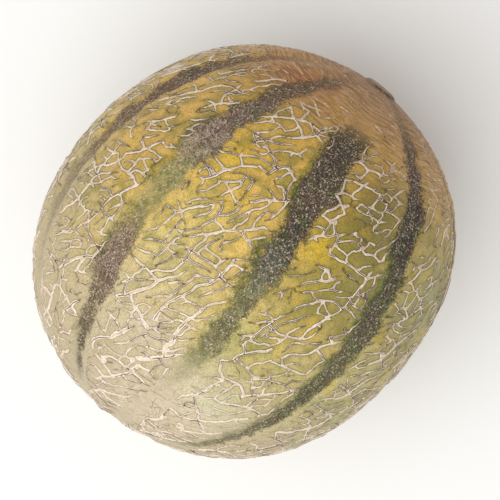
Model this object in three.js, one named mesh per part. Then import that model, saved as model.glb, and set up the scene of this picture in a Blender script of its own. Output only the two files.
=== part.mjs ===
// A ripe netted cantaloupe melon, whole, lying on its side. Millimetres.
// +X points out of the stem end along the fruit's axis, +Z is up, and the melon rests on a small flat
// spot in the plane z = 0. Ten shallow sutures run from the stem scar to the blossom scar, and a raised
// corky net of branching, broken lines covers the skin between them.
import * as THREE from "three";
import { ConvexHull } from "three/addons/math/ConvexHull.js";

// Body: its radius is a sum of cosines of the polar angle, which is measured from the stem
const MEAN_RADIUS = 72.5;
const STRETCH = 0.0347; // longer along the axis than across it
const BLUNTNESS = 0.0092; // full shoulders
const LEAN = 0.0172; // one flank is fuller near the stem, the other near the blossom end
const BUMP_HEIGHT = 0.35; // slow unevenness of a grown fruit
const FLAT_DEPTH = 0.9; // how much the resting spot takes off the underside
const FLAT_CORNERS = 24;

// Sutures: where each one runs round the axis, in degrees from the top, towards -Y
const SUTURE_AZIMUTHS = [-61, -28, 7.5, 41.5, 83, 121, 160, 198, 232, 263];
const SUTURE_SWAY = 2.5; // degrees, side to side on its way
const SUTURE_DEPTH = 0.9;
const SUTURE_HALF_WIDTH = 5;
const BARE_HALF_WIDTH = 5; // the net stays off this much of a suture's middle

// Stem scar: a low corky disc where the stalk came away, in a slight dip
const SCAR_RADIUS = 5.2;
const SCAR_HEIGHT = 1.3;
const SCAR_HOLLOW = 0.5; // how far its middle lies under its rim
const DIP_RADIUS = 10;
const DIP_DEPTH = 0.6;

// Blossom scar: a small round mark at the far end, edged by a low rim
const BLOSSOM_RADIUS = 5.5;
const BLOSSOM_HEIGHT = 0.5;

// Net: lines grow step by step over the skin until they meet another line or a suture
const SEED = 20117;
const GROWTH_STEP = 1.2;
const WANDER = 34; // degrees a line may turn at each step
const PULL = 0.22; // how strongly a line keeps to its own heading
const CROSSING_SHARE = 0.35; // of the meetings, those where a line runs on past the one it met
const SPINES = { tries: 1500, heading: -30, spread: 28, clear: 8.6, join: 3.2, shortest: 16, longest: 44 };
const RUNGS = { tries: 6000, heading: 92, spread: 36, clear: 4.7, join: 3.4, shortest: 10, longest: 22 };
const HATCHES = { tries: 900, heading: 90, spread: 6, clear: 4.2, join: 2.4, shortest: 6, longest: 13 };
Object.assign(SPINES, { rise: 1.05, half: 1.6, spacing: 4 }); // spacing: of the surface's corners along a ridge
Object.assign(RUNGS, { rise: 0.95, half: 1.5, spacing: 3.3 });
Object.assign(HATCHES, { rise: 0.5, half: 1.2, spacing: 3.6 });
const STEM_END = 36; // degrees from the stem, where the net gives way to short hatch lines
const HATCH_START = 14;
const NET_END = 171;
const FOOT_CLEAR = 0.85; // share of its half width that a ridge's foot keeps from every line
const FILL_SPACING = 4; // between the places tried for a corner of bare skin
const FILL_CLEAR = 5.4;

const RIND_COLOUR = 0xb0a050;

const radians = THREE.MathUtils.degToRad;
const degrees = THREE.MathUtils.radToDeg;
const ease = THREE.MathUtils.smoothstep;

let randomState = SEED;
function random() {
  randomState = (randomState * 16807) % 2147483647;
  return randomState / 2147483647;
}

// A direction from the fruit's centre, by its angle from the stem and its angle round the axis
function directionAt(polar, azimuth) {
  const across = Math.sin(polar);
  return new THREE.Vector3(Math.cos(polar), -across * Math.sin(azimuth), across * Math.cos(azimuth));
}

function polarOf(direction) {
  return Math.acos(THREE.MathUtils.clamp(direction.x, -1, 1));
}

// Degrees round the axis from the nearest suture's middle, as a length over the skin
function sutureDistance(direction) {
  const polar = polarOf(direction);
  const azimuth = degrees(Math.atan2(-direction.y, direction.z));
  let nearest = 360;
  SUTURE_AZIMUTHS.forEach((middle, index) => {
    const swayed = middle + SUTURE_SWAY * Math.cos(2 * polar + index);
    const apart = Math.abs(THREE.MathUtils.euclideanModulo(azimuth - swayed + 180, 360) - 180);
    nearest = Math.min(nearest, apart);
  });
  return radians(nearest) * Math.sin(polar) * MEAN_RADIUS;
}

function bumpAt(direction) {
  const { x, y, z } = direction;
  const first = Math.sin(3.1 * x + 2.2 * y + 0.7) * Math.sin(2.6 * z - 1.9 * x + 1.4);
  const second = Math.sin(4.3 * y - 2.7 * z + 2.9) * Math.sin(3.7 * x + 1.6 * z + 0.3);
  return BUMP_HEIGHT * (first + second);
}

// The stem scar's disc, hollow in its middle, and the dip round it
function stemRelief(polar) {
  const out = polar * MEAN_RADIUS;
  const disc = 1 - ease(out, SCAR_RADIUS, SCAR_RADIUS + 1.1);
  const hollow = SCAR_HOLLOW * (1 - ease(out, 0, SCAR_RADIUS * 0.8));
  const dip = DIP_DEPTH * (1 - ease(out, SCAR_RADIUS, DIP_RADIUS));
  return disc * (SCAR_HEIGHT + DIP_DEPTH - hollow) - dip;
}

function blossomRelief(polar) {
  const out = (Math.PI - polar) * MEAN_RADIUS;
  const rim = ease(out, BLOSSOM_RADIUS * 0.35, BLOSSOM_RADIUS) * (1 - ease(out, BLOSSOM_RADIUS, BLOSSOM_RADIUS + 2));
  return BLOSSOM_HEIGHT * rim;
}

// The skin's distance from the fruit's centre, without the net
function skinRadius(direction) {
  const polar = polarOf(direction);
  const flank = -direction.y / Math.max(Math.sin(polar), 1e-6);
  const shape =
    1 + STRETCH * Math.cos(2 * polar) - BLUNTNESS * Math.cos(4 * polar) + LEAN * Math.sin(2 * polar) * flank;
  const reach = ease(degrees(polar), 6, 20) * (1 - ease(degrees(polar), 162, 174));
  const groove = SUTURE_DEPTH * reach * Math.exp(-((sutureDistance(direction) / SUTURE_HALF_WIDTH) ** 2));
  return MEAN_RADIUS * shape - groove + bumpAt(direction) + stemRelief(polar) + blossomRelief(polar);
}

const FLOOR_DROP = skinRadius(new THREE.Vector3(0, 0, -1)) - FLAT_DEPTH;

// How far the skin stands over the surface that the melon rests on
function floorGap(direction) {
  return skinRadius(direction) * direction.z + FLOOR_DROP;
}

// Stations of all net lines, kept in boxes so that near ones are found quickly
const BOX_SIZE = 6;
const boxes = new Map();

function boxKey(direction, dx, dy, dz) {
  const scale = MEAN_RADIUS / BOX_SIZE;
  const place = [direction.x, direction.y, direction.z].map((part) => Math.floor(part * scale));
  return `${place[0] + dx},${place[1] + dy},${place[2] + dz}`;
}

function remember(station) {
  const key = boxKey(station.at, 0, 0, 0);
  if (!boxes.has(key)) boxes.set(key, []);
  boxes.get(key).push(station);
}

// The nearest station within a length, leaving out those of some lines
function nearestStation(direction, within, leftOut = []) {
  let found = null;
  let best = within;
  for (let dx = -1; dx <= 1; dx++)
    for (let dy = -1; dy <= 1; dy++)
      for (let dz = -1; dz <= 1; dz++)
        for (const station of boxes.get(boxKey(direction, dx, dy, dz)) ?? []) {
          const apart = station.at.distanceTo(direction) * MEAN_RADIUS;
          if (apart < best && !leftOut.includes(station.line)) {
            best = apart;
            found = station;
          }
        }
  return found;
}

// The way along the fruit from the stem at a point of the skin, turned by an angle towards the flank
function headingAt(direction, angle) {
  const along = new THREE.Vector3(-1, 0, 0).addScaledVector(direction, direction.x).normalize();
  return along.applyAxisAngle(direction, angle);
}

// Whether the net reaches a place: the bare stretch along a suture narrows towards both ends
function inNet(direction, lowest, margin) {
  const polar = polarOf(direction);
  const bare = margin * Math.sin(polar) ** 0.7;
  return degrees(polar) > lowest && degrees(polar) < NET_END && sutureDistance(direction) > bare;
}

// One arm of a net line, from its start to where it ends or meets another line
function growArm(line, start, kept, length, kind, lowest, margin) {
  const arm = [];
  const leftOut = [line];
  let here = start;
  let ahead = headingAt(start, kept);
  for (let gone = 0; gone < length; gone += GROWTH_STEP) {
    const wanted = headingAt(here, kept);
    const astray = Math.asin(THREE.MathUtils.clamp(wanted.clone().cross(ahead).dot(here), -1, 1));
    ahead.applyAxisAngle(here, radians(WANDER) * (random() - 0.5) - PULL * astray);
    here = here.clone().addScaledVector(ahead, GROWTH_STEP / MEAN_RADIUS).normalize();
    ahead.addScaledVector(here, -ahead.dot(here)).normalize();
    if (!inNet(here, lowest, margin)) break;
    const met = nearestStation(here, kind.join, leftOut);
    if (met) {
      met.junction = true;
      here = met.at;
      arm.push({ at: here, line, junction: true, shared: true });
      leftOut.push(met.line);
      if (leftOut.length > 2 || random() > CROSSING_SHARE) break;
    } else arm.push({ at: here, line, junction: false });
  }
  return arm;
}

// Lines of one kind, each from a start that is clear of the lines before it
function growLines(kind, lowest, highest) {
  const lines = [];
  for (let count = 0; count < kind.tries; count++) {
    const height = random() * 2 - 1;
    const azimuth = random() * 2 * Math.PI;
    const kept = radians(kind.heading + kind.spread * (random() + random() - 1));
    const length = kind.shortest + (kind.longest - kind.shortest) * random();
    const margin = BARE_HALF_WIDTH + 1.5 * random() - 0.5;
    const start = directionAt(Math.acos(height), azimuth);
    if (degrees(Math.acos(height)) > highest) continue;
    if (!inNet(start, lowest, margin) || nearestStation(start, kind.clear)) continue;
    const line = { kind, stations: [] };
    const back = growArm(line, start, kept + Math.PI, length / 2, kind, lowest, margin);
    const front = growArm(line, start, kept, length / 2, kind, lowest, margin);
    line.stations = [...back.reverse(), { at: start, line, junction: false }, ...front];
    if (line.stations.length < 4) continue;
    line.stations.filter((station) => !station.shared).forEach(remember);
    lines.push(line);
  }
  return lines;
}

// Every station that two lines share, both ends, and others evenly between them
function cornersOf(line) {
  const last = line.stations.length - 1;
  const fixed = line.stations.map((s, i) => i).filter((i) => i === 0 || i === last || line.stations[i].junction);
  const chosen = new Set(fixed);
  fixed.slice(1).forEach((to, index) => {
    const from = fixed[index];
    const parts = Math.max(1, Math.round(((to - from) * GROWTH_STEP) / line.kind.spacing));
    for (let part = 1; part < parts; part++) chosen.add(Math.round(from + ((to - from) * part) / parts));
  });
  return [...chosen].sort((a, b) => a - b);
}

// Corners of the surface: a direction from the centre and a rise over the skin
const corners = [];
const cornerBoxes = new Map();

function addCorner(direction, rise, clear) {
  for (let dx = -1; dx <= 1; dx++)
    for (let dy = -1; dy <= 1; dy++)
      for (let dz = -1; dz <= 1; dz++)
        for (const other of cornerBoxes.get(boxKey(direction, dx, dy, dz)) ?? [])
          if (other.distanceTo(direction) * MEAN_RADIUS < clear) return;
  const key = boxKey(direction, 0, 0, 0);
  if (!cornerBoxes.has(key)) cornerBoxes.set(key, []);
  cornerBoxes.get(key).push(direction);
  corners.push({ direction, rise });
}

function addRing(centre, side, radius, count, turn) {
  const other = centre.clone().cross(side);
  for (let index = 0; index < count; index++) {
    const angle = (2 * Math.PI * (index + turn)) / count;
    const out = side.clone().multiplyScalar(Math.cos(angle)).addScaledVector(other, Math.sin(angle));
    const spread = radius / MEAN_RADIUS;
    addCorner(centre.clone().multiplyScalar(Math.cos(spread)).addScaledVector(out, Math.sin(spread)), 0, 0.5);
  }
}

// The resting spot's outline, where the skin meets the plane it stands on
function addFlatOutline() {
  for (let index = 0; index < FLAT_CORNERS; index++) {
    const angle = (2 * Math.PI * index) / FLAT_CORNERS;
    let near = 0;
    let far = 0.5;
    for (let halving = 0; halving < 40; halving++) {
      const middle = (near + far) / 2;
      if (floorGap(underside(middle, angle)) < 0) near = middle;
      else far = middle;
    }
    addCorner(underside(far, angle), 0, 0.5);
  }
}

function underside(spread, angle) {
  const out = Math.sin(spread);
  return new THREE.Vector3(out * Math.cos(angle), out * Math.sin(angle), -Math.cos(spread));
}

// Ridges of the net: a crest, with a foot on each side of it
function addRidges(lines) {
  for (const line of lines)
    for (const index of cornersOf(line)) {
      const station = line.stations[index];
      const end = index === 0 || index === line.stations.length - 1;
      const gap = Math.max(0, floorGap(station.at));
      const rise = line.kind.rise * (end && !station.junction ? 0.4 : 1);
      if (gap > 0.05) addCorner(station.at, Math.min(rise, gap), 1.2);
    }
  for (const line of lines)
    for (const index of cornersOf(line)) {
      const here = line.stations[index].at;
      const before = line.stations[Math.max(0, index - 1)].at;
      const after = line.stations[Math.min(line.stations.length - 1, index + 1)].at;
      const side = after.clone().sub(before).cross(here).normalize();
      for (const way of [-1, 1]) {
        const foot = here.clone().addScaledVector(side, (way * line.kind.half) / MEAN_RADIUS).normalize();
        const near = line.kind.half * FOOT_CLEAR;
        if (floorGap(foot) > 0.05 && !nearestStation(foot, near)) addCorner(foot, 0, near);
      }
    }
}

function addSutureMiddles() {
  for (const [index, middle] of SUTURE_AZIMUTHS.entries())
    for (let polar = 14; polar <= 168; polar += 4.6) {
      const swayed = middle + SUTURE_SWAY * Math.cos(2 * radians(polar) + index);
      addCorner(directionAt(radians(polar), radians(swayed)), 0, 2);
    }
}

// Corners in the bare stretches, spread evenly in a spiral over the whole fruit
function addFill() {
  const count = Math.round((4 * Math.PI * MEAN_RADIUS ** 2) / FILL_SPACING ** 2);
  const goldenTurn = Math.PI * (3 - Math.sqrt(5));
  for (let index = 0; index < count; index++) {
    const direction = directionAt(Math.acos(1 - (2 * index + 1) / count), index * goldenTurn);
    if (floorGap(direction) > 0.25) addCorner(direction, 0, FILL_CLEAR);
  }
}

// A closed surface through all corners, by the hull of their directions on the unit sphere
function surfaceOf(places) {
  const points = places.map((place) => place.direction.clone());
  const indexOf = new Map(points.map((point, index) => [point, index]));
  const hull = new ConvexHull().setFromPoints(points);
  const positions = places.flatMap((place) => {
    const point = place.direction.clone().multiplyScalar(skinRadius(place.direction) + place.rise);
    return [point.x, point.y, Math.max(point.z + FLOOR_DROP, 0)];
  });
  const faces = hull.faces.flatMap((face) => {
    const first = face.edge;
    return [first, first.next, first.next.next].map((edge) => indexOf.get(edge.head().point));
  });
  const geometry = new THREE.BufferGeometry();
  geometry.setAttribute("position", new THREE.Float32BufferAttribute(positions, 3));
  geometry.setIndex(faces);
  return geometry;
}

const stemward = new THREE.Vector3(1, 0, 0);
const blossomward = new THREE.Vector3(-1, 0, 0);
const upward = new THREE.Vector3(0, 0, 1);
[0.01, 2, 3.9, SCAR_RADIUS, SCAR_RADIUS + 1.1, 8.2, 11].forEach((radius, index) =>
  addRing(stemward, upward, radius, [1, 7, 14, 20, 22, 20, 20][index], (index % 2) / 2),
);
[0.01, 2.4, BLOSSOM_RADIUS, BLOSSOM_RADIUS + 2, 10].forEach((radius, index) =>
  addRing(blossomward, upward, radius, [1, 8, 16, 18, 18][index], (index % 2) / 2),
);
addFlatOutline();
const spines = growLines(SPINES, STEM_END, 150);
const rungs = growLines(RUNGS, STEM_END, NET_END);
const hatches = growLines(HATCHES, HATCH_START, STEM_END);
addRidges([...spines, ...rungs, ...hatches]);
addSutureMiddles();
addFill();

const geometry = surfaceOf(corners);
geometry.computeBoundingBox();
const middle = geometry.boundingBox.getCenter(new THREE.Vector3());
geometry.translate(-middle.x, -middle.y, 0);
geometry.computeVertexNormals();

const rind = new THREE.MeshStandardMaterial({ color: RIND_COLOUR, roughness: 0.6, metalness: 0 });
const melonMesh = new THREE.Mesh(geometry, rind);
melonMesh.name = "melon";

const melon = new THREE.Group();
melon.add(melonMesh);
export default melon;
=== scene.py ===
# A ripe netted cantaloupe melon, lying on its side on a white surface and seen from above.
# The rind is one closed mesh: a smooth fruit with shallow sutures, a raised corky net whose ridges have
# their own rows of vertices, a stem scar and a blossom scar. Its colours come from values kept on the
# vertices and from procedural textures.
import math
import bpy
import numpy as np
from mathutils import Matrix, Vector, kdtree, noise
from mathutils.geometry import delaunay_2d_cdt


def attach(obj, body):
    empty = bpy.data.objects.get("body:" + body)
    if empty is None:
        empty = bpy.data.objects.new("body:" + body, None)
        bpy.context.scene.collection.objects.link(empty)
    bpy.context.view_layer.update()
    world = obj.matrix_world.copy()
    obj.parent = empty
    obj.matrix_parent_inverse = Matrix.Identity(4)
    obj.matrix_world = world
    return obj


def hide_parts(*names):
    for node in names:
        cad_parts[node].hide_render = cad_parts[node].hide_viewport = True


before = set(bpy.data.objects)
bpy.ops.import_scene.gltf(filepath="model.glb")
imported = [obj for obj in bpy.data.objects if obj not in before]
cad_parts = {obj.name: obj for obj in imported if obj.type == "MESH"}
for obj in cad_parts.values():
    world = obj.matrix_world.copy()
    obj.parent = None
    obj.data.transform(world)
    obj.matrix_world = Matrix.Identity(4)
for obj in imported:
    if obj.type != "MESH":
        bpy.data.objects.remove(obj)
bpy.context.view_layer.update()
mm = 0.001
print("frame loaded")

# The fruit's form, in millimetres, as in the solid: a radius for each direction from its centre
body = {
    "meanRadius": 72.5,
    "stretch": 0.0347,  # longer along the axis than across it
    "bluntness": 0.0092,  # full shoulders
    "lean": 0.0172,  # one flank is fuller near the stem, the other near the blossom end
    "bumpHeight": 0.35,
    "flatDepth": 0.9,
    "sutures": [-61, -28, 7.5, 41.5, 83, 121, 160, 198, 232, 263],  # degrees from the top, towards -Y
    "sutureSway": 2.5,
    "sutureDepth": 0.9,
    "sutureHalfWidth": 5,
    "suturesBegin": (6, 20),  # degrees from the stem
    "suturesEnd": (162, 174),
}
stemScar = {"radius": 5.2, "height": 1.0, "hollow": 0.5, "hollowShare": 0.8, "edge": 0.6, "rim": 2.4,
            "dipRadius": 10, "dipDepth": 0.6}
blossomScar = {"radius": 5.5, "height": 0.5, "innerShare": 0.35, "rim": 2}


def ease(value, low, high):
    share = np.clip((value - low) / (high - low), 0, 1)
    return share * share * (3 - 2 * share)


def unit(rows):
    return rows / np.linalg.norm(rows, axis=-1, keepdims=True)


def polarOf(places):
    return np.arccos(np.clip(places[:, 0], -1, 1))


def azimuthOf(places):
    return np.degrees(np.arctan2(-places[:, 1], places[:, 2]))


# How far each place lies from each suture's middle, over the skin, in millimetres
def sutureOffsets(places):
    polar = polarOf(places)
    azimuth = azimuthOf(places)
    columns = []
    for index, middle in enumerate(body["sutures"]):
        swayed = middle + body["sutureSway"] * np.cos(2 * polar + index)
        apart = (azimuth - swayed + 180) % 360 - 180
        columns.append(np.radians(apart) * np.sin(polar) * body["meanRadius"])
    return np.stack(columns, axis=1)


def bumpAt(places):
    x, y, z = places.T
    first = np.sin(3.1 * x + 2.2 * y + 0.7) * np.sin(2.6 * z - 1.9 * x + 1.4)
    second = np.sin(4.3 * y - 2.7 * z + 2.9) * np.sin(3.7 * x + 1.6 * z + 0.3)
    return body["bumpHeight"] * (first + second)


# The corky disc where the stalk came away, hollow in its middle, in a slight dip
def stemRelief(polar):
    out = polar * body["meanRadius"]
    radius = stemScar["radius"]
    disc = 1 - ease(out, radius - stemScar["edge"], radius + stemScar["rim"])
    hollow = stemScar["hollow"] * (1 - ease(out, 0, radius * stemScar["hollowShare"]))
    dip = stemScar["dipDepth"] * (1 - ease(out, radius, stemScar["dipRadius"]))
    return disc * (stemScar["height"] + stemScar["dipDepth"] - hollow) - dip


def blossomRelief(polar):
    out = (math.pi - polar) * body["meanRadius"]
    radius = blossomScar["radius"]
    inner = ease(out, radius * blossomScar["innerShare"], radius)
    return blossomScar["height"] * inner * (1 - ease(out, radius, radius + blossomScar["rim"]))


def skinRadius(places):
    polar = polarOf(places)
    flank = -places[:, 1] / np.maximum(np.sin(polar), 1e-6)
    shape = 1 + body["stretch"] * np.cos(2 * polar) - body["bluntness"] * np.cos(4 * polar)
    shape = shape + body["lean"] * np.sin(2 * polar) * flank
    turn = np.degrees(polar)
    reach = ease(turn, *body["suturesBegin"]) * (1 - ease(turn, *body["suturesEnd"]))
    nearest = np.abs(sutureOffsets(places)).min(axis=1)
    groove = body["sutureDepth"] * reach * np.exp(-((nearest / body["sutureHalfWidth"]) ** 2))
    relief = bumpAt(places) + stemRelief(polar) + blossomRelief(polar)
    return body["meanRadius"] * shape - groove + relief


floorDrop = float(skinRadius(np.array([[0.0, 0.0, -1.0]]))[0]) - body["flatDepth"]


# The net, grown step by step over the skin until a line meets another one or a suture.
# The first three kinds are the solid's own lines. The rest are finer ones that only this mesh has, each
# with the least number of steps for a line that joins others at no end, at one and at both.
net = {
    "seed": 20117,
    "step": 1.2,
    "wander": 34,
    "pull": 0.22,  # back to the line's own heading
    "crossingShare": 0.35,  # of the meetings, how many a line crosses
    "ahead": 0.4,  # the least cosine at which a met line counts as lying ahead
    "bareHalfWidth": 5,  # the net stays off this much of a suture's middle
    "bareSpread": 1.5,
    "bareInside": 0.5,
    "bareTaper": 0.7,
    "end": 171,  # degrees from the stem
    "boxSize": 6,
}
spines = {"tries": 1500, "heading": -30, "spread": 28, "clear": 8.6, "join": 3.2, "length": (16, 44),
          "reach": (36, 150), "half": 0.42, "rise": 0.5}
rungs = {"tries": 6000, "heading": 92, "spread": 36, "clear": 4.7, "join": 3.4, "length": (10, 22),
         "reach": (36, 171), "half": 0.36, "rise": 0.45}
hatches = {"tries": 900, "heading": 90, "spread": 6, "clear": 4.2, "join": 2.4, "length": (6, 13),
           "reach": (14, 36), "half": 0.36, "rise": 0.25}
twigs = {"tries": 16000, "heading": -42, "spread": 66, "clear": 1.75, "join": 1.7, "length": (7, 16),
         "reach": (34, 171), "half": 0.3, "rise": 0.28, "least": (8, 4, 3)}
stemHatches = {"tries": 9000, "heading": 90, "spread": 10, "clear": 1.7, "join": 1.0, "length": (3, 9),
               "reach": (11, 42), "half": 0.22, "rise": 0.15, "least": (4, 4, 3)}
corkLines = {"tries": 5000, "heading": 60, "spread": 90, "clear": 2.1, "join": 1.9, "length": (6, 14),
             "reach": (106, 171), "half": 0.24, "rise": 0.12, "least": (7, 5, 3)}
solidKinds = [spines, rungs, hatches]
fineKinds = [twigs, stemHatches, corkLines]


class Dice:
    def __init__(self, seed):
        self.state = seed

    def roll(self):
        self.state = (self.state * 16807) % 2147483647
        return self.state / 2147483647


def dot(a, b):
    return a[0] * b[0] + a[1] * b[1] + a[2] * b[2]


def cross(a, b):
    return (a[1] * b[2] - a[2] * b[1], a[2] * b[0] - a[0] * b[2], a[0] * b[1] - a[1] * b[0])


def scaled(a, factor, b=(0.0, 0.0, 0.0)):
    return (b[0] + a[0] * factor, b[1] + a[1] * factor, b[2] + a[2] * factor)


def normal(a):
    return scaled(a, 1 / math.sqrt(dot(a, a)))


# A direction turned about another one at right angles to it
def turned(a, axis, angle):
    return scaled(cross(axis, a), math.sin(angle), scaled(a, math.cos(angle)))


# The angle from the stem end, in radians
def polarAt(place):
    return math.acos(max(-1.0, min(1.0, place[0])))


def headingAt(place, angle):
    along = normal(scaled(place, place[0], (-1.0, 0.0, 0.0)))
    return turned(along, place, angle)


def sutureGap(place):
    polar = polarAt(place)
    azimuth = math.degrees(math.atan2(-place[1], place[2]))
    nearest = 360
    for index, middle in enumerate(body["sutures"]):
        swayed = middle + body["sutureSway"] * math.cos(2 * polar + index)
        nearest = min(nearest, abs((azimuth - swayed + 180) % 360 - 180))
    return math.radians(nearest) * math.sin(polar) * body["meanRadius"]


def inNet(place, lowest, margin):
    polar = polarAt(place)
    bare = margin * math.sin(polar) ** net["bareTaper"]
    return lowest < math.degrees(polar) < net["end"] and sutureGap(place) > bare


stationBoxes = {}


def boxOf(place):
    scale = body["meanRadius"] / net["boxSize"]
    return tuple(math.floor(part * scale) for part in place)


def nearestStation(place, within, leftOut=()):
    found = None
    best = (within / body["meanRadius"]) ** 2
    x, y, z = boxOf(place)
    for dx in (-1, 0, 1):
        for dy in (-1, 0, 1):
            for dz in (-1, 0, 1):
                for station in stationBoxes.get((x + dx, y + dy, z + dz), ()):
                    gap = scaled(place, -1, station["at"])
                    apart = dot(gap, gap)
                    if apart < best and station["line"] not in leftOut:
                        best = apart
                        found = station
    return found


# One arm of a line. A fine line ends at the first line it meets, and only joins one that lies ahead.
def growArm(name, start, kept, length, kind, lowest, margin, dice, fine):
    arm = []
    leftOut = [name]
    here = start
    ahead = headingAt(start, kept)
    gone = 0.0
    while gone < length:
        wanted = headingAt(here, kept)
        astray = math.asin(max(-1.0, min(1.0, dot(cross(wanted, ahead), here))))
        swerve = math.radians(net["wander"]) * (dice.roll() - 0.5) - net["pull"] * astray
        ahead = turned(ahead, here, swerve)
        here = normal(scaled(ahead, net["step"] / body["meanRadius"], here))
        ahead = normal(scaled(here, -dot(ahead, here), ahead))
        if not inNet(here, lowest, margin):
            break
        met = nearestStation(here, kind["join"], leftOut)
        if met and fine:
            gap = scaled(here, -1, met["at"])
            if dot(gap, ahead) < net["ahead"] * math.sqrt(dot(gap, gap)):
                break
        if met:
            met["junction"] = True
            here = met["at"]
            arm.append({"at": here, "line": name, "junction": True, "shared": True})
            leftOut.append(met["line"])
            if fine or len(leftOut) > 2 or dice.roll() > net["crossingShare"]:
                break
        else:
            arm.append({"at": here, "line": name, "junction": False, "shared": False})
        gone += net["step"]
    return arm


# Lines of one kind. The solid's own kinds try places all over the fruit, and the finer ones their reach.
def growLines(kind, dice, fine):
    lowest, highest = kind["reach"]
    top, bottom = (math.cos(math.radians(lowest)), math.cos(math.radians(highest))) if fine else (1, -1)
    for count in range(kind["tries"]):
        height = bottom + (top - bottom) * dice.roll()
        azimuth = dice.roll() * 2 * math.pi
        kept = math.radians(kind["heading"] + kind["spread"] * (dice.roll() + dice.roll() - 1))
        length = kind["length"][0] + (kind["length"][1] - kind["length"][0]) * dice.roll()
        margin = net["bareHalfWidth"] + net["bareSpread"] * dice.roll() - net["bareInside"]
        polar = math.acos(height)
        across = math.sin(polar)
        start = (math.cos(polar), -across * math.sin(azimuth), across * math.cos(azimuth))
        if math.degrees(polar) > highest:
            continue
        if not inNet(start, lowest, margin) or nearestStation(start, kind["clear"]):
            continue
        name = len(allLines)
        back = growArm(name, start, kept + math.pi, length / 2, kind, lowest, margin, dice, fine)
        front = growArm(name, start, kept, length / 2, kind, lowest, margin, dice, fine)
        stations = back[::-1] + [{"at": start, "line": name, "junction": False, "shared": False}] + front
        joints = int(stations[0]["shared"]) + int(stations[-1]["shared"])
        if len(stations) < (kind["least"][joints] if fine else 4):
            continue
        for station in stations:
            if not station["shared"]:
                stationBoxes.setdefault(boxOf(station["at"]), []).append(station)
        allLines.append({"kind": kind, "stations": stations})


allLines = []
dice = Dice(net["seed"])
for kind in solidKinds:
    growLines(kind, dice, fine=False)
solidLineCount = len(allLines)
for kind in fineKinds:
    growLines(kind, dice, fine=True)
print("net lines:", solidLineCount, "of the solid and", len(allLines) - solidLineCount, "finer ones")


# Each line's half width and rise change slowly along it, and a loose end runs out thin.
ridge = {
    "looseEnd": 4.0,  # over this length a loose end thins
    "rowSpacing": 1.0,
    "samplesPerRow": 3,
    "jitter": 0.2,
    "shoulder": 0.4,  # the width of the painted shade, a thin dark band, outside each foot
    "breakMm": 7.0,  # size of the stretches where a ridge runs out and starts again
    "breakAt": (-0.52, -0.16),
    "breakHalf": -0.6,  # below nought, so that both ends of a break are pointed
    "fewerBreaks": (0.2, 92, 112),  # towards the blossom end: by how much, between which angles
    "slowSwell": (0.4, 9),  # how much the width changes along a ridge, and over how many millimetres
    "quickSwell": (0.3, 2.2),
    "endSwell": (0.3, 100, 125),  # towards the blossom end: by how much, between which angles
    "shakeMm": 1.7,
    "leastHalf": 0.1,
    "hairlineTone": 2.0,  # marks a hairline crack in the cork instead of a ridge
}


def slowNoise(place, size, seed):
    return noise.noise(Vector(place) * (body["meanRadius"] / size) + Vector((seed, 0.0, 0.0)))


# A smooth curve through a line's stations, at evenly spaced places that keep every meeting point
def smoothedLine(line):
    stations = line["stations"]
    last = len(stations) - 1
    known = np.array([station["at"] for station in stations])
    lengths = np.linalg.norm(np.diff(known, axis=0), axis=1) * body["meanRadius"]
    gone = np.concatenate([[0.0], np.cumsum(lengths)])
    known = np.vstack([2 * known[0] - known[1], known, 2 * known[-1] - known[-2]])
    fixed = [index for index in range(last + 1) if index in (0, last) or stations[index]["junction"]]
    steps = [0.0]
    loose = [0.0]
    for before, after in zip(fixed, fixed[1:]):
        parts = math.ceil((gone[after] - gone[before]) / ridge["rowSpacing"])
        wanted = gone[before] + (gone[after] - gone[before]) * np.arange(1, parts + 1) / parts
        steps += np.interp(wanted, gone, np.arange(last + 1)).tolist()
        loose += [1.0] * (parts - 1) + [0.0]
    steps = np.array(steps)
    index = np.minimum(steps.astype(int), last - 1)
    t = (steps - index)[:, None]
    p0, p1, p2, p3 = known[index], known[index + 1], known[index + 2], known[index + 3]
    bend = (2 * p0 - 5 * p1 + 4 * p2 - p3) * t + (3 * p1 - p0 - 3 * p2 + p3) * t * t
    return unit(0.5 * (2 * p1 + (p2 - p0) * t + bend * t)), steps, np.array(loose)


# The pale knot, where several lines run together and are widest
knot = {"polar": 115, "azimuth": -7, "reach": 10, "widening": 1.3}


def directionOf(polar, azimuth):
    polar, azimuth = math.radians(polar), math.radians(azimuth)
    across = math.sin(polar)
    return np.array([math.cos(polar), -across * math.sin(azimuth), across * math.cos(azimuth)])


knotPlace = directionOf(knot["polar"], knot["azimuth"]).tolist()


def ramp(value, low, high):
    return min(1, max(0, value - low) / (high - low))


def knotSwell(place):
    away = math.degrees(math.acos(max(-1.0, min(1.0, dot(place, knotPlace)))))
    return knot["widening"] * math.exp(-((away / knot["reach"]) ** 2))


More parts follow.
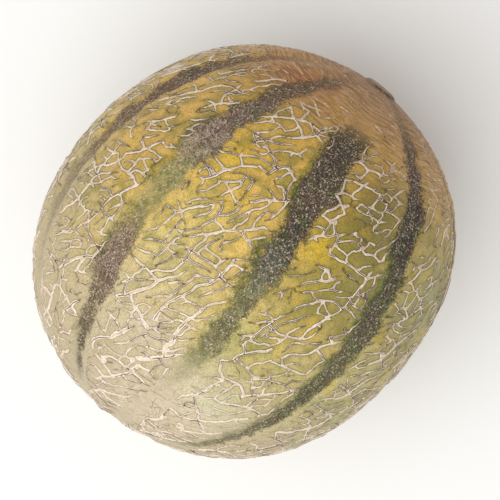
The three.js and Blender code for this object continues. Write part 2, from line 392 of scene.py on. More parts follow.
# The half width and rise at each place of a line
def lineSizes(line, places, steps):
    stations = line["stations"]
    last = len(stations) - 1
    slowShare, slowMm = ridge["slowSwell"]
    quickShare, quickMm = ridge["quickSwell"]
    endShare, *endReach = ridge["endSwell"]
    fewer, *fewerReach = ridge["fewerBreaks"]
    sizes = []
    for place, step in zip(places.tolist(), steps.tolist()):
        polar = math.degrees(polarAt(place))
        end = 1.0
        if not stations[0]["junction"]:
            end = min(end, (step + 0.2) * net["step"] / ridge["looseEnd"])
        if not stations[-1]["junction"]:
            end = min(end, (last - step + 0.2) * net["step"] / ridge["looseEnd"])
        swell = 1 + slowShare * slowNoise(place, slowMm, 3.0) + quickShare * slowNoise(place, quickMm, 8.0)
        if line["kind"] in solidKinds:
            swell *= 1 + endShare * ramp(polar, *endReach) + knotSwell(place)
        half = line["kind"]["half"] * swell * (0.1 + 0.9 * end)
        rise = line["kind"]["rise"] * (0.8 + 0.2 * swell) * (0.35 + 0.65 * end)
        lasting = slowNoise(place, ridge["breakMm"], 31.0) + fewer * ramp(polar, *fewerReach)
        whole = float(ease(lasting, *ridge["breakAt"]))
        sizes.append((half * whole + ridge["breakHalf"] * (1 - whole), rise * whole))
    return np.array(sizes)


# Rows of vertices along every line, and closer samples that tell how wide and high the nearest ridge is
samplePlaces = []
sampleHalves = []
sampleRises = []
sampleTones = []
rowPlaces = []
rowRanks = []
for name, line in enumerate(allLines):
    places, steps, loose = smoothedLine(line)
    sizes = lineSizes(line, places, steps)
    tone = ridge["hairlineTone"] if line["kind"] is corkLines else dice.roll()
    side = unit(np.cross(np.gradient(places, axis=0), places))
    shake = np.array([slowNoise(place, ridge["shakeMm"], 21.0) for place in places.tolist()])
    places = unit(places + side * (shake * loose * ridge["jitter"] / body["meanRadius"])[:, None])
    offset = np.maximum(sizes[:, :1], ridge["leastHalf"]) / body["meanRadius"]
    sideRows = [0.0, ridge["shoulder"] / body["meanRadius"]] if name < solidLineCount else [0.0]
    rowPlaces.append(places)
    rowRanks.append(np.zeros(len(places)))
    for way in (-1, 1):
        for rank, beyond in enumerate(sideRows, start=1):
            rowPlaces.append(unit(places + side * (offset + beyond) * way))
            rowRanks.append(np.full(len(places), rank))
    for part in range(ridge["samplesPerRow"]):
        share = part / ridge["samplesPerRow"]
        samplePlaces.append(unit(places[:-1] * (1 - share) + places[1:] * share))
        between = sizes[:-1] * (1 - share) + sizes[1:] * share
        sampleHalves.append(between[:, 0])
        sampleRises.append(between[:, 1])
        sampleTones.append(np.full(len(places) - 1, tone))
    samplePlaces.append(places[-1:])
    sampleHalves.append(sizes[-1:, 0])
    sampleRises.append(sizes[-1:, 1])
    sampleTones.append(np.array([tone]))
samplePlaces = np.concatenate(samplePlaces)
sampleHalves = np.concatenate(sampleHalves)
sampleRises = np.concatenate(sampleRises)
sampleTones = np.concatenate(sampleTones)
rowPlaces = np.concatenate(rowPlaces)
rowRanks = np.concatenate(rowRanks)
netTree = kdtree.KDTree(len(samplePlaces))
for index, place in enumerate(samplePlaces):
    netTree.insert(place, index)
netTree.balance()


# The nearest net line at each place: how far off it is, its half width, its rise and its tone
def nearestLine(places):
    found = [netTree.find(place) for place in places]
    index = np.array([hit[1] for hit in found])
    apart = np.array([hit[2] for hit in found]) * body["meanRadius"]
    return apart, sampleHalves[index], sampleRises[index], sampleTones[index]


# Places are kept in boxes, and one that lies too near an earlier place is left out
class Sieve:
    def __init__(self, size):
        self.size = size
        self.boxes = {}
        self.kept = []

    def add(self, places, clear):
        scale = body["meanRadius"] / self.size
        limit = (clear / body["meanRadius"]) ** 2
        cells = np.floor(places * scale).astype(int).tolist()
        for place, (x, y, z) in zip(places.tolist(), cells):
            if self.isClear(place, x, y, z, limit):
                self.boxes.setdefault((x, y, z), []).append(place)
                self.kept.append(place)

    def isClear(self, place, x, y, z, limit):
        for dx in (-1, 0, 1):
            for dy in (-1, 0, 1):
                for dz in (-1, 0, 1):
                    for other in self.boxes.get((x + dx, y + dy, z + dz), ()):
                        gap = (place[0] - other[0], place[1] - other[1], place[2] - other[2])
                        if gap[0] * gap[0] + gap[1] * gap[1] + gap[2] * gap[2] < limit:
                            return False
        return True


mesh = {
    "gapSpacing": 0.55,  # between lines that lie close together
    "gapClear": 0.46,
    "gapLeast": 0.56,  # nearer ones would part a thin line
    "gapBand": (0.3, 0.8),  # how far outside a ridge's foot they lie
    "footLeast": 0.35,
    "footShare": 0.8,
    "fillSpacing": 1.3,
    "fillClear": 0.95,
    "rowClear": (0.4, 0.3, 0.38),  # for the crest, its feet and their shoulders
    "boxSize": 1.4,
    "scarRings": (1.2, 2.4, 3.6, 4.4, 5.2, 5.8, 6.4, 7.4),
    "scarClear": 0.3,
    "underRing": 4.0,  # degrees round the underside's middle that one fan of faces closes
    "underRingCount": 36,
    "underMargin": 0.012,  # radians outside that ring that stay clear
}


def spiral(spacing):
    count = int(4 * math.pi * (body["meanRadius"] / spacing) ** 2 / 0.866)
    index = np.arange(count)
    polar = np.arccos(1 - (2 * index + 1) / count)
    azimuth = index * math.pi * (3 - math.sqrt(5))
    across = np.sin(polar)
    return np.stack([np.cos(polar), -across * np.sin(azimuth), across * np.cos(azimuth)], axis=1)


def ringAbout(axis, side, radius, count):
    other = np.cross(axis, side)
    angle = np.arange(count) * 2 * math.pi / count
    spread = radius / body["meanRadius"]
    out = np.cos(angle)[:, None] * side + np.sin(angle)[:, None] * other
    return math.cos(spread) * axis + math.sin(spread) * out


stemAxis = np.array([1.0, 0.0, 0.0])
underAxis = np.array([0.0, 0.0, -1.0])
underReach = math.radians(mesh["underRing"])


def outsideRing(rows):
    return rows[rows @ underAxis < math.cos(underReach + mesh["underMargin"])]


sieve = Sieve(mesh["boxSize"])
sieve.add(ringAbout(underAxis, stemAxis, underReach * body["meanRadius"], mesh["underRingCount"]), 0)
ringCount = len(sieve.kept)
for rank, clear in enumerate(mesh["rowClear"]):
    chosen = outsideRing(rowPlaces[rowRanks == rank])
    if rank:
        apart, half = nearestLine(chosen)[:2]
        wanted = np.maximum(half, mesh["footLeast"]) + (0.0, ridge["shoulder"])[rank - 1]
        chosen = chosen[apart > wanted * mesh["footShare"]]
    sieve.add(chosen, clear)
for radius in mesh["scarRings"]:
    sieve.add(ringAbout(stemAxis, -underAxis, radius, int(8 + radius * 8)), mesh["scarClear"])
closeFill = outsideRing(spiral(mesh["gapSpacing"]))
apart, half = nearestLine(closeFill)[:2]
nearest, farthest = mesh["gapBand"]
closeFill = closeFill[(apart > np.maximum(half + nearest, mesh["gapLeast"])) & (apart < half + farthest)]
sieve.add(closeFill, mesh["gapClear"])
sieve.add(outsideRing(spiral(mesh["fillSpacing"])), mesh["fillClear"])
places = unit(np.array(sieve.kept))
print("vertices", len(places))


# Seen from the underside's middle the fruit is a flat disc, where all places are joined into triangles
def facesOver(places, axis):
    other = np.cross(axis, stemAxis)
    depth = 1 - places @ axis
    flat = np.stack([places @ stemAxis / depth, places @ other / depth], axis=1)
    result = delaunay_2d_cdt([Vector(point) for point in flat], [], [], 0, 1e-9, True)
    origin = [source[0] for source in result[3]]
    return [[origin[corner] for corner in face] for face in result[2]]


faces = facesOver(places, underAxis)
middleIndex = len(places)
places = np.vstack([places, underAxis])
for index in range(ringCount):
    faces.append([index, (index + 1) % ringCount, middleIndex])
faces = np.array(faces)
a, b, c = places[faces[:, 0]], places[faces[:, 1]], places[faces[:, 2]]
inward = np.einsum("ij,ij->i", np.cross(b - a, c - a), a) < 0
faces[inward] = faces[inward][:, ::-1]
print("faces", len(faces))

# Each vertex stands on the skin, raised by the nearest ridge, and none lies under the flat spot
apart, half, rise, tone = nearestLine(places)
level = 1 - ease(apart / np.maximum(half, ridge["leastHalf"]), 0.0, 1.0)
polar = polarOf(places)
turn = np.degrees(polar)
radius = skinRadius(places)
gap = np.maximum(radius * places[:, 2] + floorDrop, 0)
height = np.minimum(rise * level, gap)
points = places * (radius + height)[:, None]
points[:, 2] = np.maximum(points[:, 2] + floorDrop, 0)
points[:, :2] -= (points[:, :2].min(axis=0) + points[:, :2].max(axis=0)) / 2
points *= mm

rindMesh = bpy.data.meshes.new("nettedRind")
rindMesh.from_pydata(points.tolist(), [], faces.tolist())
rind = bpy.data.objects.new("nettedRind", rindMesh)
bpy.context.collection.objects.link(rind)
rindMesh.shade_smooth()
print("rind built", len(rindMesh.polygons))


def keepOnVertices(name, values):
    layer = rindMesh.attributes.new(name, "FLOAT", "POINT")
    layer.data.foreach_set("value", np.asarray(values, dtype=np.float32))


keepOnVertices("netApart", apart)
keepOnVertices("netHalf", half)
keepOnVertices("netTone", np.minimum(tone, 1))
keepOnVertices("hairline", tone == ridge["hairlineTone"])
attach(rind, "root")
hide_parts("melon")


# Colours are sRGB hex, turned to the linear values that Blender mixes
def linear(colour):
    parts = [int(colour[start:start + 2], 16) / 255 for start in (1, 3, 5)]
    return [part / 12.92 if part <= 0.04045 else ((part + 0.055) / 1.055) ** 2.4 for part in parts]


# The dark stripe in each suture, as stops from the stem on: the angle from the stem, the half width in
# millimetres, how much it covers and its colour
stripeShapes = {
    "brown": [
        (20, 1.5, 0.3, "#785F4E"), (43, 3.5, 0.9, "#745A48"), (54, 4.4, 1.0, "#6E543E"),
        (65, 5.0, 1.0, "#7A5C44"), (78, 4.8, 0.95, "#82654C"), (89, 3.8, 0.8, "#907658"),
        (98, 3.0, 0.65, "#9A7E60"), (109, 2.8, 0.6, "#9C8C80"), (119, 2.6, 0.5, "#A89888"),
        (150, 2.0, 0.1, "#B4A492"),
    ],
    "mossy": [
        (13, 2.0, 0.4, "#715949"), (26, 2.6, 0.85, "#6C5444"), (40, 3.2, 0.95, "#6C5442"),
        (52, 4.4, 1.0, "#80685A"), (61, 6.0, 1.0, "#967F6E"), (67, 5.8, 1.0, "#A28C76"),
        (71, 4.8, 0.95, "#AC9A7A"), (75, 4.0, 0.75, "#A49C6E"), (81, 5.4, 0.55, "#B2B27C"),
        (89, 4.6, 0.4, "#B8B284"), (94, 3.2, 0.7, "#9E9068"), (99, 3.8, 0.95, "#9A8266"),
        (104, 4.4, 1.0, "#987E68"), (111, 4.4, 1.0, "#8C7462"), (119, 3.6, 0.95, "#826C54"),
        (127, 2.6, 0.95, "#76684C"), (134, 1.5, 1.0, "#64543E"), (144, 1.0, 0.9, "#5E4E3E"),
        (154, 0.8, 0.2, "#807060"),
    ],
    "broad": [
        (27, 3.0, 0.1, "#7A5A3C"), (32, 4.4, 0.45, "#705438"), (36, 5.0, 0.9, "#5E4A36"),
        (40, 5.6, 1.0, "#4C4034"), (47, 6.2, 1.0, "#4C3C30"), (56, 6.0, 1.0, "#5E4C3E"),
        (62, 5.4, 1.0, "#58483A"), (68, 5.0, 1.0, "#463E34"), (74, 4.2, 1.0, "#525040"),
        (79, 4.6, 1.0, "#626052"), (85, 5.2, 0.95, "#74725E"), (90, 4.6, 0.85, "#80805C"),
        (95, 3.4, 0.85, "#7E7A56"), (101, 3.3, 0.85, "#7C7454"), (106, 3.2, 0.8, "#847C5C"),
        (111, 2.8, 0.5, "#969068"), (117, 3.2, 0.35, "#A8A478"), (126, 3.6, 0.25, "#B0AC84"),
        (138, 3.0, 0.1, "#B8B090"), (146, 2.0, 0.0, "#B8B090"),
    ],
    "dark": [
        (14, 2.0, 0.5, "#725541"), (26, 3.4, 0.95, "#664E3C"), (37, 4.0, 1.0, "#584236"),
        (45, 4.8, 1.0, "#44372E"), (55, 4.8, 1.0, "#3A312A"), (60, 4.5, 1.0, "#443E2C"),
        (64, 4.2, 1.0, "#4C4A2C"), (73, 4.4, 1.0, "#56523A"), (82, 3.9, 1.0, "#625E40"),
        (91, 3.7, 0.95, "#6E6A48"), (98, 3.1, 0.95, "#666244"), (106, 2.9, 1.0, "#646044"),
        (115, 2.6, 0.95, "#6A6440"), (124, 2.3, 0.9, "#706A46"), (134, 2.0, 0.85, "#746C4E"),
        (143, 1.5, 0.7, "#7C745A"), (152, 1.2, 0.1, "#A8A080"),
    ],
}
# Each suture's shape, how many degrees it is moved towards the blossom end and how mossy its sides are
stripes = [("brown", 0, 0.3), ("mossy", 0, 0.8), ("broad", 0, 1.0), ("dark", 0, 1.0), ("mossy", 5, 0.8),
           ("broad", -4, 1.0), ("brown", 3, 0.4), ("dark", 4, 1.0), ("broad", 6, 1.0), ("mossy", -4, 0.8)]

# The skin between the ridges: its colours from the stem on, and wide soft patches over them, each by its
# angle from the stem, its angle round the axis, its reach in degrees and how strongly it covers
skin = {
    # These colours darken towards the stem end: partly the skin's own tan, partly painted shade on the side
    # turned from the light.
    "along": [(0, "#845E3C"), (20, "#A0723A"), (36, "#C49848"), (56, "#D6A854"), (80, "#D8B260"),
              (100, "#CEB678"), (120, "#C2AE86"), (145, "#B8A886"), (180, "#BCAC90")],
    "patches": [
        ("#E2BA58", 74, -16, 18, 0.75),
        ("#E0CC82", 88, -17, 13, 0.7),
        ("#D6B028", 62, -20, 6, 0.8),
        ("#D4BE80", 98, -14, 11, 0.6),
        ("#DCAC50", 52, -8, 14, 0.7),
        ("#A0561C", 34, -41, 12, 0.9),
        ("#A86E34", 34, -14, 9, 0.5),
        ("#D6A858", 76, -45, 20, 0.7),
        ("#685E20", 58, 25, 15, 0.85),
        ("#7A6626", 48, 28, 9, 0.8),
        ("#8C8436", 80, 24, 14, 0.75),
        ("#D2AC1C", 67, 17, 7, 0.9),
        ("#80783A", 72, 34, 11, 0.75),
        ("#959B72", 66, 64, 26, 0.85),
        ("#B0B084", 100, 58, 26, 0.7),
        ("#A4A458", 102, 16, 12, 0.6),
        ("#D0BE98", 117, -10, 17, 0.9),
        # The pale light green patch at the lower middle of the view is a painted highlight, the wax's
        # sheen.
        ("#D4D0AC", 124, 22, 14, 0.8),
        ("#BCAC8C", 132, -10, 20, 0.8),
        ("#B4A284", 100, -62, 16, 0.7),
        ("#A89A48", 90, 110, 40, 0.6),
        ("#BC9C38", 80, 170, 44, 0.7),
        ("#9E9444", 88, 228, 40, 0.6),
    ],
    "patchFall": 1.4,
}
# Where dry cork covers the skin: the blossom end, the pale knot and the place that the fruit grew lying on
corkSpots = {
    "blossomEnd": (150, 172),  # degrees from the stem
    "knotShare": 0.9,
    "knotReach": 7,
    "groundPlace": (138, 10),
    "groundShare": 0.85,
    "groundReach": 20,
}
stripeRagged = {"share": 0.55, "sizeMm": 11}


# How many degrees each vertex lies from a place on the fruit
def degreesFrom(direction):
    return np.degrees(np.arccos(np.clip(places @ direction, -1, 1)))


def skinColours():
    stops = [stop for stop, colour in skin["along"]]
    palette = np.array([linear(colour) for stop, colour in skin["along"]])
    colours = np.stack([np.interp(turn, stops, palette[:, channel]) for channel in range(3)], axis=1)
    for colour, fromStem, azimuth, reach, strength in skin["patches"]:
        away = degreesFrom(directionOf(fromStem, azimuth))
        share = (strength * np.exp(-((away / reach) ** 2) * skin["patchFall"]))[:, None]
        colours = colours * (1 - share) + np.array(linear(colour)) * share
    return colours


# Each vertex's nearest stripe: how far its ragged edge is in millimetres, which side of the middle the
# vertex lies on, how much the stripe covers, how mossy its sides are and its colour
def stripeValues():
    offsets = sutureOffsets(places)
    share, size = stripeRagged["share"], stripeRagged["sizeMm"]
    ragged = np.array([1 + share * slowNoise(place, size, 5.0) for place in places.tolist()])
    columns = []
    for index, (shape, shift, moss) in enumerate(stripes):
        stops, halves, covers, colours = zip(*stripeShapes[shape])
        palette = np.array([linear(colour) for colour in colours])
        along = turn - shift
        half = np.interp(along, stops, halves) * ragged
        offset = offsets[:, index]
        values = [np.abs(offset) - half, offset / half, np.interp(along, stops, covers)]
        values += [np.full(len(places), moss)]
        values += [np.interp(along, stops, palette[:, channel]) for channel in range(3)]
        columns.append(np.stack(values, axis=1))
    columns = np.stack(columns, axis=1)
    nearest = columns[:, :, 0].argmin(axis=1)
    chosen = columns[np.arange(len(places)), nearest]
    edge = np.minimum(chosen[:, 0], 9)
    side = np.clip(chosen[:, 1], -1, 1)
    return edge, side, chosen[:, 2], chosen[:, 3], chosen[:, 4:]


def keepColours(name, values):
    layer = rindMesh.attributes.new(name, "FLOAT_COLOR", "POINT")
    rows = np.concatenate([values, np.ones((len(values), 1))], axis=1)
    layer.data.foreach_set("color", rows.astype(np.float32).ravel())


stripeEdge, stripeSide, stripeCover, stripeMoss, stripeTint = stripeValues()
keepOnVertices("stripeEdge", stripeEdge)
keepOnVertices("stripeSide", stripeSide)
keepOnVertices("stripeCover", stripeCover)
keepOnVertices("stripeMoss", stripeMoss)
keepColours("stripeTint", stripeTint)
keepColours("skinTint", skinColours())
fromKnot = degreesFrom(np.array(knotPlace))
fromGround = degreesFrom(directionOf(*corkSpots["groundPlace"]))
knotCork = corkSpots["knotShare"] * np.exp(-((fromKnot / corkSpots["knotReach"]) ** 2))
groundCork = corkSpots["groundShare"] * np.exp(-((fromGround / corkSpots["groundReach"]) ** 2))
cork = np.maximum(np.maximum(ease(turn, *corkSpots["blossomEnd"]), knotCork), groundCork)
fromScar = polar * body["meanRadius"]
fromBlossom = (math.pi - polar) * body["meanRadius"]
stemBrown = 1 - ease(fromScar, stemScar["radius"] - 0.5, stemScar["radius"] + 1.2)
blossomBrown = 1 - ease(fromBlossom, blossomScar["radius"] - 2, blossomScar["radius"] + 1.5)
scar = np.maximum(stemBrown, 0.55 * blossomBrown)
keepOnVertices("cork", cork)
keepOnVertices("scar", scar)
keepOnVertices("fromStem", turn)
print("values kept on the vertices")


# A node with its settings, and its inputs as values or as links from other nodes' sockets
def addNode(tree, kind, inputs=None, **settings):
    node = tree.nodes.new(kind)
    for name, value in settings.items():
        setattr(node, name, value)
    for key, value in (inputs or {}).items():
        if isinstance(value, bpy.types.NodeSocket):
            tree.links.new(value, node.inputs[key])
        else:
            node.inputs[key].default_value = value
    return node


# Netted rind: a waxy, slightly bumpy skin under dull dry cork. The skin is mottled gold and olive, the
# sutures are dark and speckled like moss on bark, and the cork ridges are pale, with painted highlights and
# a thin band of painted shade beside them.
rindLook = {
    "waxRoughness": 0.5,
    "corkRoughness": 0.85,
    "waxIor": 1.45,
    "ridgePale": "#EADCC2",
    "ridgePink": "#E6CFBC",
    # Painted highlight: the paler patches along the ridges.
    "ridgeHighlight": "#F4EADC",
    "ridgeTan": "#C69C62",
    "ridgeBrown": "#8A6850",
    # Painted shade: the thin dark band beside each ridge's foot.
    "outline": "#4A3A1A",
    "fissure": "#9C7660",
    "fissureDark": "#553A2A",
    "gold": "#DCB634",
    "olive": "#857D34",
    "fleck": "#E6DCC0",
    "moss": "#525C14",
    "speckDark": "#241C16",
    "speckPale": "#CCBEA6",
    "speckBrown": "#5C4030",
    "arcPale": "#C8A06C",
    "arcDark": "#6E4A22",
    "pore": "#5A5222",
    "cork": "#D2C4AA",
    "corkDark": "#BFAC90",
    "crack": "#745644",
    "scarBrown": "#6A503A",
    "scarPale": "#A88C6C",
    "rimDark": "#33241A",
    "rimAt": 4.6,  # degrees from the stem
    "wobbleMm": 0.8,
    "blotchMm": 9,
    "mottleMm": 2.8,
    "poreMm": 0.9,
    "fleckMm": 1.2,
    "speckMm": 0.6,
    "grainMm": 0.4,
    "arcMm": 0.55,
    "arcLengthMm": 5,
}


def rgba(colour):
    return (*linear(colour), 1.0)


def makeRindMaterial():
    material = bpy.data.materials.new("nettedMelonRind")
    material.use_nodes = True
    tree = material.node_tree
    tree.nodes.clear()
    look = rindLook
    spot = addNode(tree, "ShaderNodeTexCoord").outputs["Object"]

    def attribute(name, output="Fac"):
        return addNode(tree, "ShaderNodeAttribute", attribute_name=name).outputs[output]

    def grain(size, detail=2.0, roughness=0.5):
        inputs = {"Vector": spot, "Scale": 1 / (size * mm), "Detail": detail, "Roughness": roughness}
        return addNode(tree, "ShaderNodeTexNoise", inputs).outputs["Fac"]

    def cells(size, feature="F1"):
        inputs = {"Vector": spot, "Scale": 1 / (size * mm)}
        return addNode(tree, "ShaderNodeTexVoronoi", inputs, feature=feature).outputs["Distance"]

    def sums(operation, first, second=0.0, third=0.0):
        node = addNode(tree, "ShaderNodeMath", {0: first, 1: second, 2: third}, operation=operation)
        return node.outputs[0]

    def between(value, low, high, start=0.0, end=1.0):
        inputs = {"Value": value, "From Min": low, "From Max": high, "To Min": start, "To Max": end}
        return addNode(tree, "ShaderNodeMapRange", inputs, interpolation_type="SMOOTHSTEP").outputs[0]

    def mixed(share, first, second):
        node = addNode(tree, "ShaderNodeMix", {"Factor": share}, data_type="RGBA")
        for socket, value in ((node.inputs[6], first), (node.inputs[7], second)):
            if isinstance(value, bpy.types.NodeSocket):
                tree.links.new(value, socket)
            else:
                socket.default_value = rgba(value)
        return node.outputs[2]

    apart, half = attribute("netApart"), attribute("netHalf")
    tone = attribute("netTone")
    cover = attribute("stripeCover")
    corkShare = attribute("cork")
    fromStem = attribute("fromStem")
    wobble = sums("MULTIPLY_ADD", grain(look["wobbleMm"], 3.0, 0.6), 1.3, 0.35)
    edge = sums("SUBTRACT", apart, sums("MULTIPLY", half, wobble))
    hairline = between(attribute("hairline"), 0.4, 0.6)
    drawn = sums("SUBTRACT", 1.0, hairline)
    onRidge = sums("MULTIPLY", between(edge, -0.06, 0.06, 1, 0), drawn)
    # Painted shade: the band just outside each ridge's foot, where the raised ridge's shade falls.
    shadeBesideRidge = sums("MULTIPLY", between(edge, 0.12, 0.42, 1, 0), sums("SUBTRACT", drawn, onRidge))

    # The skin's own mottling: gold and olive patches, greener beside the ridges, with a fine grain
    blotch = grain(look["blotchMm"], 3.0, 0.6)
    mottle = grain(look["mottleMm"], 4.0, 0.65)
    skinTint = attribute("skinTint", "Color")
    colour = mixed(between(blotch, 0.5, 0.66, 0, 0.4), skinTint, look["gold"])
    colour = mixed(between(blotch, 0.5, 0.34, 0, 0.6), colour, look["olive"])
    ripe = sums("MULTIPLY", between(fromStem, 30, 52), between(fromStem, 92, 124, 1, 0))
    colour = mixed(ripe, skinTint, colour)
    lessRipe = sums("MULTIPLY", between(fromStem, 88, 124, 1, 0.3), between(fromStem, 30, 48))
    colour = mixed(sums("MULTIPLY", between(mottle, 0.48, 0.3, 0, 0.5), lessRipe), colour, look["olive"])
    nearRidge = between(edge, 0.2, 1.7, 1, 0)
    greener = sums("MULTIPLY", nearRidge, between(grain(5.0, 2.0), 0.4, 0.62, 0.12, 0.55))
    colour = mixed(sums("MULTIPLY", greener, lessRipe), colour, look["olive"])
    fine = grain(look["grainMm"], 3.0, 0.8)
    shade = addNode(tree, "ShaderNodeHueSaturation", {
        "Value": between(fine, 0.36, 0.64, 0.7, 1.25),
        "Color": colour,
    })
    colour = shade.outputs["Color"]
    pores = between(cells(look["poreMm"]), 0.1, 0.3, 1, 0)
    poreShare = sums("MULTIPLY", pores, between(grain(2.0), 0.45, 0.6, 0, 0.6))
    colour = mixed(poreShare, colour, look["pore"])
    nearStripe = between(attribute("stripeEdge"), 1.0, 6.0, 0.9, 0.1)
    flecks = sums("MULTIPLY", between(cells(look["fleckMm"]), 0.08, 0.24, 1, 0), nearStripe)
    flecks = sums("MULTIPLY", flecks, between(grain(4.0), 0.46, 0.58))

    # Fine arcs round the stem end, pale and dark, as wide as a thread and a few millimetres long
    along = addNode(tree, "ShaderNodeSeparateXYZ", {"Vector": spot})
    across = 1 / (look["arcLengthMm"] * mm)
    arcSpot = addNode(tree, "ShaderNodeCombineXYZ", {
        "X": sums("MULTIPLY", fromStem, math.radians(body["meanRadius"]) / look["arcMm"]),
        "Y": sums("MULTIPLY", along.outputs["Y"], across),
        "Z": sums("MULTIPLY", along.outputs["Z"], across),
    })
    arcInputs = {"Vector": arcSpot.outputs[0], "Scale": 1.0, "Detail": 2.0}
    arcs = addNode(tree, "ShaderNodeTexNoise", arcInputs).outputs["Fac"]
    arcShare = sums("MULTIPLY", between(fromStem, 34, 54, 1, 0), between(fromStem, 5, 12))
    paleArcs = sums("MULTIPLY", between(arcs, 0.52, 0.62, 0, 0.6), arcShare)
    darkArcs = sums("MULTIPLY", between(arcs, 0.48, 0.38, 0, 0.6), arcShare)
    colour = mixed(paleArcs, colour, look["arcPale"])
    colour = mixed(darkArcs, colour, look["arcDark"])

    # Dark ragged stripes, speckled like bark, with mossy green fringes
    speck = grain(look["speckMm"], 3.0, 0.8)
    stripeEdge = attribute("stripeEdge")
    ragged = sums("ADD", stripeEdge, sums("MULTIPLY_ADD", grain(3.4, 3.0, 0.6), 7.0, -3.5))
    ragged = sums("ADD", sums("MULTIPLY_ADD", speck, 7.0, -3.5), ragged)
    covered = sums("MULTIPLY", between(ragged, -1.2, 1.2, 1, 0), cover)
    inStripe = sums("MULTIPLY", covered, between(sums("ADD", speck, cover), 0.55, 1.2))
    sided = sums("MULTIPLY_ADD", attribute("stripeSide"), 1.3, ragged)
    mossReach = sums("MULTIPLY", between(sided, -0.5, 3.0, 1, 0), between(cover, 0.1, 0.5))
    mossy = sums("MULTIPLY", mossReach, between(grain(15.0), 0.38, 0.56, 0.4, 1.0))
    mossy = sums("MULTIPLY", mossy, attribute("stripeMoss"))
    mossy = sums("MULTIPLY", mossy, between(grain(2.2, 4.0, 0.7), 0.36, 0.58, 0.4, 1.0))
    mossBand = sums("MULTIPLY", between(fromStem, 36, 56), between(fromStem, 96, 128, 1, 0.4))
    mossy = sums("MULTIPLY", mossy, mossBand)
    mossPatches = between(grain(5.0, 4.0, 0.7), 0.48, 0.64, 0, 0.6)
    mossPatches = sums("MULTIPLY", mossPatches, attribute("stripeMoss"))
    bark = mixed(mossPatches, attribute("stripeTint", "Color"), look["moss"])
    bark = mixed(between(grain(2.0, 4.0, 0.75), 0.5, 0.38, 0, 0.55), bark, look["speckDark"])
    bark = mixed(between(speck, 0.5, 0.38, 0, 0.75), bark, look["speckDark"])
    bark = mixed(between(grain(3.2, 4.0, 0.7), 0.5, 0.6, 0, 0.5), bark, look["speckBrown"])
    flecked = between(grain(1.8, 3.0, 0.6), 0.42, 0.6, 0.15, 0.95)
    bark = mixed(sums("MULTIPLY", between(speck, 0.52, 0.6), flecked), bark, look["speckPale"])
    colour = mixed(mossy, colour, look["moss"])
    colour = mixed(inStripe, colour, bark)
    colour = mixed(flecks, colour, look["fleck"])

    # Dry cork round the blossom end and on the pale knot, with hairline cracks
    corkTone = mixed(between(grain(2.4, 4.0, 0.7), 0.35, 0.65), look["cork"], look["corkDark"])
    corkEdge = between(sums("ADD", corkShare, sums("MULTIPLY_ADD", mottle, 1.1, -0.55)), 0.35, 0.75)
    colour = mixed(sums("MULTIPLY", corkEdge, 0.7), colour, corkTone)
    crackLine = between(cells(3.4, "DISTANCE_TO_EDGE"), 0.012, 0.05, 1, 0)
    cracked = sums("MULTIPLY", corkEdge, between(grain(4.0), 0.46, 0.62, 0, 0.5))
    cracks = sums("MULTIPLY", crackLine, cracked)
    colour = mixed(cracks, colour, look["crack"])

    # The ridges: pale cork, pinkish along the crest, with painted highlights in paler patches, a thin band
    # of painted shade just outside each foot and some dark splits
    outlineShare = sums("MULTIPLY", shadeBesideRidge, between(grain(2.6, 2.0), 0.3, 0.6, 0.2, 0.85))
    outlineReach = sums("MULTIPLY", between(fromStem, 32, 50, 0.35, 1), between(fromStem, 96, 126, 1, 0.6))
    outlineShare = sums("MULTIPLY", outlineShare, outlineReach)
    colour = mixed(outlineShare, colour, look["outline"])
    ridgeTone = mixed(between(grain(4.0, 3.0, 0.6), 0.35, 0.7), look["ridgePale"], look["ridgePink"])
    ridgeTone = mixed(between(fromStem, 22, 54, 1, 0), ridgeTone, look["ridgeTan"])
    ridgeTone = mixed(between(tone, 0.94, 0.98, 0, 0.5), ridgeTone, look["ridgeBrown"])
    ridgeTone = mixed(between(grain(0.6, 2.0), 0.5, 0.7, 0, 0.3), ridgeTone, look["ridgeBrown"])
    # Painted highlight: paler patches at random along the ridges.
    ridgeTone = mixed(between(grain(1.3, 2.0), 0.46, 0.62, 0, 0.6), ridgeTone, look["ridgeHighlight"])
    colour = mixed(onRidge, colour, ridgeTone)
    crestLine = sums("MULTIPLY", between(sums("MULTIPLY", apart, wobble), 0.05, 0.2, 1, 0), onRidge)
    crease = sums("MULTIPLY", crestLine, between(grain(5.0, 2.0), 0.4, 0.55, 0.1, 0.6))
    colour = mixed(crease, colour, look["fissure"])
    split = between(sums("ADD", grain(6.0, 2.0), sums("MULTIPLY", tone, 0.12)), 0.57, 0.63, 0, 0.9)
    fissures = sums("MULTIPLY", crestLine, split)
    colour = mixed(fissures, colour, look["fissureDark"])

    # Towards the blossom end, hairline cracks in the cork
    hair = sums("MULTIPLY", between(sums("MULTIPLY", apart, wobble), 0.1, 0.28, 1, 0), hairline)
    hair = sums("MULTIPLY", hair, between(grain(3.0), 0.38, 0.55, 0.2, 0.85))
    colour = mixed(hair, colour, look["crack"])

    # The stem scar's brown, cracked cork
    scarTone = mixed(between(grain(1.2, 4.0, 0.7), 0.35, 0.65), look["scarBrown"], look["scarPale"])
    colour = mixed(attribute("scar"), colour, scarTone)
    fromRim = sums("ABSOLUTE", sums("SUBTRACT", fromStem, look["rimAt"]))
    rim = sums("MULTIPLY", between(fromRim, 0.1, 0.55, 1, 0), between(grain(3.0, 3.0), 0.42, 0.56, 0, 0.85))
    colour = mixed(rim, colour, look["rimDark"])

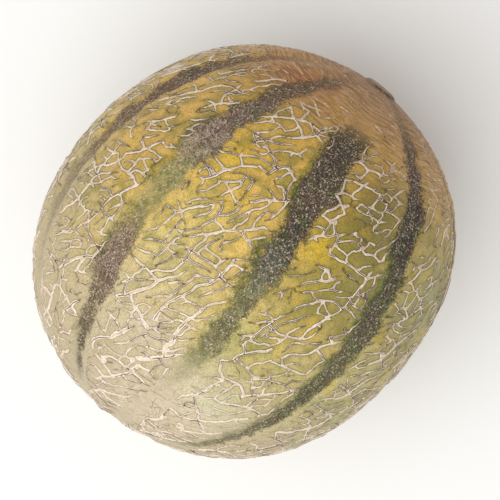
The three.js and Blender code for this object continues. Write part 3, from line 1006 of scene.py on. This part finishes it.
    # Wax shines a little and cork is dull, and both are finely uneven
    dry = sums("MAXIMUM", onRidge, sums("MAXIMUM", corkEdge, inStripe))
    relief = sums("MULTIPLY_ADD", grain(0.8, 3.0, 0.6), 0.16, sums("MULTIPLY", grain(2.2, 3.0), 0.25))
    relief = sums("ADD", relief, sums("MULTIPLY", sums("MULTIPLY", speck, inStripe), 0.5))
    relief = sums("SUBTRACT", relief, sums("MULTIPLY", fissures, 0.25))
    relief = sums("SUBTRACT", relief, sums("MULTIPLY", cracks, 0.3))
    bump = addNode(tree, "ShaderNodeBump", {"Height": relief, "Distance": mm, "Strength": 0.8})
    shader = addNode(tree, "ShaderNodeBsdfPrincipled", {
        "Base Color": colour,
        "Roughness": between(dry, 0.0, 1.0, look["waxRoughness"], look["corkRoughness"]),
        "IOR": look["waxIor"],
        "Normal": bump.outputs["Normal"],
    })
    addNode(tree, "ShaderNodeOutputMaterial", {"Surface": shader.outputs[0]})
    return material


rindMesh.materials.append(makeRindMaterial())
print("rind material made")


# White table top under one large soft window and a pale sky, so that only the melon has colour
studio = {
    "tableSize": 12.0,
    "tableColour": "#F4F3F1",
    "skyColour": "#FFFFFF",
    "skyStrength": 0.62,
    "window": {"right": -0.6, "up": -0.55, "back": 1.1, "size": 1.7, "watts": 17.0},
}
camera = {
    "back": (0.148, 0.0, 0.989),  # from the fruit to the camera
    "right": (0.636, -0.766, -0.095),
    "distance": 0.725,
    "lens": 148.0,
    "aimRight": 0.0020,
    "aimUp": 0.0001,
}


# White laminate: smooth, matt and plain
def makeTable():
    bpy.ops.mesh.primitive_plane_add(size=studio["tableSize"])
    table = bpy.context.object
    table.name = "table"
    material = bpy.data.materials.new("whiteLaminate")
    material.use_nodes = True
    shader = material.node_tree.nodes["Principled BSDF"]
    shader.inputs["Base Color"].default_value = rgba(studio["tableColour"])
    shader.inputs["Roughness"].default_value = 0.7
    table.data.materials.append(material)


# The camera's own directions, by which the window light is placed too
centre = Vector((0, 0, floorDrop * mm))
back = Vector(camera["back"]).normalized()
right = Vector(camera["right"])
right = (right - back * right.dot(back)).normalized()
up = back.cross(right)
turnToView = Matrix((right, up, back)).transposed().to_4x4()


def makeCamera():
    aim = centre + right * camera["aimRight"] + up * camera["aimUp"]
    bpy.ops.object.camera_add(location=(0, 0, 0))
    eye = bpy.context.object
    eye.name = "camera"
    eye.matrix_world = Matrix.Translation(aim + back * camera["distance"]) @ turnToView
    eye.data.lens = camera["lens"]
    eye.data.sensor_width = 36
    bpy.context.scene.camera = eye


def makeLights():
    window = studio["window"]
    toward = right * window["right"] + up * window["up"] + back * window["back"]
    bpy.ops.object.light_add(type="AREA", location=centre + toward)
    lamp = bpy.context.object
    lamp.name = "windowLight"
    lamp.data.shape = "SQUARE"
    lamp.data.size = window["size"]
    lamp.data.energy = window["watts"]
    lamp.rotation_euler = toward.to_track_quat("Z", "Y").to_euler()
    sky = bpy.data.worlds.new("paleStudio")
    sky.use_nodes = True
    backdrop = sky.node_tree.nodes["Background"]
    backdrop.inputs["Color"].default_value = rgba(studio["skyColour"])
    backdrop.inputs["Strength"].default_value = studio["skyStrength"]
    bpy.context.scene.world = sky


makeTable()
makeCamera()
makeLights()
bpy.context.scene.view_settings.view_transform = "Standard"
print("studio set up")
